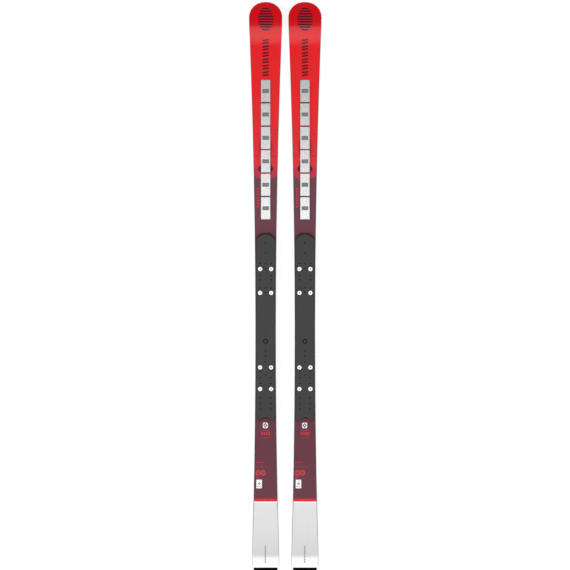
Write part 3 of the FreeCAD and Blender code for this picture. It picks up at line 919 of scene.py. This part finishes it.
def damper_shades():
    """Half-round dark fields on both sides of the fourth damper's rear end."""
    inner, outer, middle_y, half_length = 15.0, 24.0, 375.0, 10.5
    arc = []
    for i in range(ARC_STEPS + 1):
        angle = math.pi * i / ARC_STEPS
        arc.append((inner + (outer - inner) * math.sin(angle), middle_y - half_length * math.cos(angle)))
    return both_sides(arc)


WEDGE_OUTER_SIDE = [(18.0, 420.0), (20.6, 440.0), (19.6, 458.0), (16.0, 472.0)]


def damper_wedges():
    """Wedges beside the third and fourth dampers, widening rearwards, with a short second pair."""
    long_wedge = [(15.0, 420.0)] + WEDGE_OUTER_SIDE + [(15.0, 472.0)]
    short_wedge = [(15.0, 384.0), (20.2, 384.0), (17.0, 398.0), (15.0, 402.0)]
    return both_sides(long_wedge) + both_sides(short_wedge)


def wedge_fringes():
    """Lighter fringes along the long wedges."""
    outer_side = [(20.5, 420.0), (24.6, 440.0), (23.4, 460.0), (17.0, 474.0)]
    return both_sides(WEDGE_OUTER_SIDE[:1] + outer_side + WEDGE_OUTER_SIDE[:0:-1])


def damper_gap_shades():
    """Painted shade: dark bars in the gaps behind the first, second and fourth dampers."""
    reach, overlap = 13.0, 1.0
    bars = []
    for number in (1, 2, 4):
        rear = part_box("left_damper_tile_%d" % number)[0].y / MM
        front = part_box("left_damper_tile_%d" % (number + 1))[1].y / MM
        bars.append(rectangle(-reach, reach, front - overlap, rear + overlap))
    return bars


def cross_lines():
    """Faint lines from the dampers out towards the edges."""
    rear_line = rectangle(15.2, 33.6, 414.8, 417.2)
    front_line = rectangle(22.0, 36.0, 485.0, 487.0)
    return both_sides(rear_line) + both_sides(front_line)


def rear_rows():
    """Rows of dashes and blocks between the plate and the tail."""
    rows = dash_row(-14.0, 14.0, -460.0, -457.6, 9)
    rows += [slanted_block(x, -469.2, 4.8, 9.6, 0.9) for x in (-11.4, -3.8, 3.8, 11.4)]
    rows += dash_row(-8.0, 17.0, -482.9, -481.2, 7)
    rows += dash_row(-31.0, -5.4, -562.2, -559.6, 9)
    rows += dash_row(-30.6, 12.8, -576.4, -574.6, 13)
    rows += dash_row(-30.6, -19.2, -611.0, -606.6, 3)
    return rows


def rear_frames():
    """Two hollow hexagons side by side, each around a small diamond."""
    y, across, along, stroke = -594.6, 6.9, 9.4, 2.8
    shapes = []
    for x in (-23.4, -7.4):
        inner = hexagon(x, y, across - stroke, along - stroke * 1.15)
        shapes += ring(hexagon(x, y, across, along), inner)
        shapes.append(diamond(x, y, 1.5, 2.2))
    return shapes


EMBLEM_CENTRE = (-0.8, -443.2)
LABEL_CENTRE = (-20.6, -630.0)


def emblem_field():
    """A rounded white square behind the plate."""
    x, y = EMBLEM_CENTRE
    return [rounded_rectangle(x - 8.0, x + 8.0, y - 8.8, y + 8.8, 4.2)]


def label_field():
    """A rounded white label ahead of the red band."""
    x, y = LABEL_CENTRE
    return [rounded_rectangle(x - 8.8, x + 8.8, y - 13.9, y + 13.9, 1.6)]


def label_marks():
    """A hollow diamond and small blocks on the white label."""
    x, y = LABEL_CENTRE[0] + 0.3, LABEL_CENTRE[1] + 1.4
    return ring(diamond(x, y, 4.8, 4.8), diamond(x, y, 2.2, 2.2)) + [
        rectangle(-26.2, -22.8, -639.4, -636.6),
        rectangle(-19.6, -15.8, -639.0, -637.0),
        rectangle(-20.6, -14.6, -620.4, -619.6),
    ]


def tail_dots():
    """A file of seven small squares just left of the middle."""
    x, front, pitch, count, half = -0.8, -830.4, 7.9, 7, 1.9
    centres = [front - pitch * i for i in range(count)]
    return [rectangle(x - half, x + half, y - half, y + half) for y in centres]


def print_marks():
    """Every ink shape on both skis."""
    ink = printed_ink("ink_dark", INK)
    spine_ink = printed_ink("ink_spine", linear(76, 16, 34))
    shade_ink = printed_ink("ink_shade", linear(62, 36, 50))
    wedge_ink = printed_ink("ink_wedge", linear(168, 34, 60))
    line_ink = printed_ink("ink_line", linear(176, 34, 56))
    fringe_ink = printed_ink("ink_fringe", linear(200, 44, 62))
    # Painted shade for the gaps between the dampers.
    gap_shade_ink = printed_ink("ink_gap_shade", linear(128, 30, 50))
    block_ink = printed_ink("ink_block", linear(202, 56, 66))
    red_ink = printed_ink("ink_red", linear(228, 64, 72))
    white_ink = printed_ink("ink_white", linear(253, 253, 253))
    grey_ink = printed_ink("ink_grey", linear(70, 62, 64))
    dot_ink = printed_ink("ink_dots", linear(22, 16, 19))
    for ski in SKIS:
        marks("tip_bars", tip_bars(), ink, ski)
        marks("spine_bars", spine_bars(), spine_ink, ski)
        marks("damper_wedges", damper_wedges(), wedge_ink, ski)
        marks("cross_lines", cross_lines(), line_ink, ski)
        marks("wedge_fringes", wedge_fringes(), fringe_ink, ski)
        marks("damper_gap_shades", damper_gap_shades(), gap_shade_ink, ski)
        marks("damper_shades", damper_shades(), shade_ink, ski)
        marks("side_blocks", side_blocks(), block_ink, ski)
        marks("rear_rows", rear_rows(), block_ink, ski)
        marks("rear_frames", rear_frames(), red_ink, ski)
        marks("emblem_field", emblem_field(), white_ink, ski)
        marks("emblem_diamond", [diamond(*EMBLEM_CENTRE, 6.8, 7.8)], shade_ink, ski, OVERPRINT_PROUD)
        marks("emblem_heart", [diamond(*EMBLEM_CENTRE, 3.0, 3.6)], white_ink, ski, 2 * OVERPRINT_PROUD)
        marks("label_field", label_field(), white_ink, ski)
        marks("label_marks", label_marks(), grey_ink, ski, OVERPRINT_PROUD)
        marks("tail_dots", tail_dots(), dot_ink, ski)


# ---- floor, light and camera ----------------------------------------------------------

FLOOR_HALF = 12.0
FLOOR_Z = -0.0002
PURE_WHITE = (1.0, 1.0, 1.0, 1.0)


def make_floor():
    """A pale matt floor, far larger than the pair."""
    mesh = bpy.data.meshes.new("floor")
    corners = [(-1, -1), (1, -1), (1, 1), (-1, 1)]
    mesh.from_pydata([(x * FLOOR_HALF, y * FLOOR_HALF, FLOOR_Z) for x, y in corners], [], [(0, 1, 2, 3)])
    surface = Surface("floor_pale", 0.9, specular=0.1)
    cloud = surface.noise((3.0, 3.0, 3.0))
    surface.colour(surface.mixed(cloud, linear(136, 136, 136), linear(140, 140, 140)))
    surface.shader.inputs["Emission Color"].default_value = PURE_WHITE
    surface.shader.inputs["Emission Strength"].default_value = 0.8
    mesh.materials.append(surface.material)
    floor = bpy.data.objects.new("floor", mesh)
    bpy.context.scene.collection.objects.link(floor)


# the sky's strength at three values of a direction's upward part
SKY = ((0.0, 1.0), (0.01, 0.85), (0.65, 0.3))


def make_world():
    """A room that is white below, bright near the horizon and dimmer overhead."""
    world = bpy.data.worlds.new("studio")
    bpy.context.scene.world = world
    world.use_nodes = True
    nodes, links = world.node_tree.nodes, world.node_tree.links
    direction = nodes.new("ShaderNodeTexCoord")
    parts = nodes.new("ShaderNodeSeparateXYZ")
    radiance = nodes.new("ShaderNodeValToRGB")
    stops = radiance.color_ramp.elements
    stops.new(0.5)
    for stop, (position, value) in zip(stops, SKY):
        stop.position = position
        stop.color = (value, value, value, 1.0)
    links.new(direction.outputs["Generated"], parts.inputs["Vector"])
    links.new(parts.outputs["Z"], radiance.inputs["Fac"])
    links.new(radiance.outputs["Color"], nodes["Background"].inputs["Strength"])
    nodes["Background"].inputs["Color"].default_value = PURE_WHITE


def softbox(name, centre, width, length, radiance):
    """A rectangular light of that radiance, facing the origin."""
    light = bpy.data.lights.new(name, "AREA")
    light.shape = "RECTANGLE"
    light.size = width
    light.size_y = length
    light.energy = radiance * width * length * math.pi
    lamp = bpy.data.objects.new(name, light)
    lamp.location = centre
    lamp.rotation_euler = (-Vector(centre)).to_track_quat("-Z", "Y").to_euler()
    lamp.visible_camera = False
    bpy.context.scene.collection.objects.link(lamp)


STRIP_DISTANCE = 60.0
STRIP_WIDTH = 30.0


def high_strip(name, near, far, radiance):
    """A wide light far above the pair, between two angles from the vertical in degrees. Positive
    angles lie towards the tips."""
    middle, half = math.radians((near + far) / 2), math.radians(abs(far - near) / 2)
    centre = (0.0, STRIP_DISTANCE * math.sin(middle), STRIP_DISTANCE * math.cos(middle))
    softbox(name, centre, STRIP_WIDTH, 2 * STRIP_DISTANCE * math.tan(half), radiance)


SIDE_LIGHT_X = 7.4
SIDE_LIGHT_Y = 0.8
SIDE_LIGHT_Z = 8.8
SIDE_LIGHT_SIZE = 6.0


def make_lights():
    """Two softboxes beside the pair, and strips overhead for the flat parts and the curved ends."""
    for name, side, radiance in (("key", -1, 3.9), ("fill", 1, 2.9)):
        centre = (side * SIDE_LIGHT_X, SIDE_LIGHT_Y, SIDE_LIGHT_Z)
        softbox(name, centre, SIDE_LIGHT_SIZE, SIDE_LIGHT_SIZE, radiance)
    high_strip("rear_strip", -15.0, -29.0, 3.5)
    high_strip("rear_strip_dim", -9.5, -15.0, 2.9)
    high_strip("rear_strip_faint", -5.8, -9.5, 1.7)
    high_strip("front_strip", 6.0, 21.0, 2.2)


VIEW_HEIGHT = 1.8183
VIEW_CENTRE = (-0.0009, 0.0048)
CAMERA_Z = 3.0


def make_camera():
    """Looks straight down on the pair, with the tails cut off by the picture's lower edge."""
    camera = bpy.data.objects.new("camera", bpy.data.cameras.new("camera"))
    camera.data.type = "ORTHO"
    camera.data.ortho_scale = VIEW_HEIGHT
    camera.location = (*VIEW_CENTRE, CAMERA_Z)
    bpy.context.scene.collection.objects.link(camera)
    bpy.context.scene.camera = camera


dress_cad_nodes()
print_zones()
print_marks()
make_floor()
make_world()
make_lights()
make_camera()
bpy.context.scene.view_settings.view_transform = "Standard"
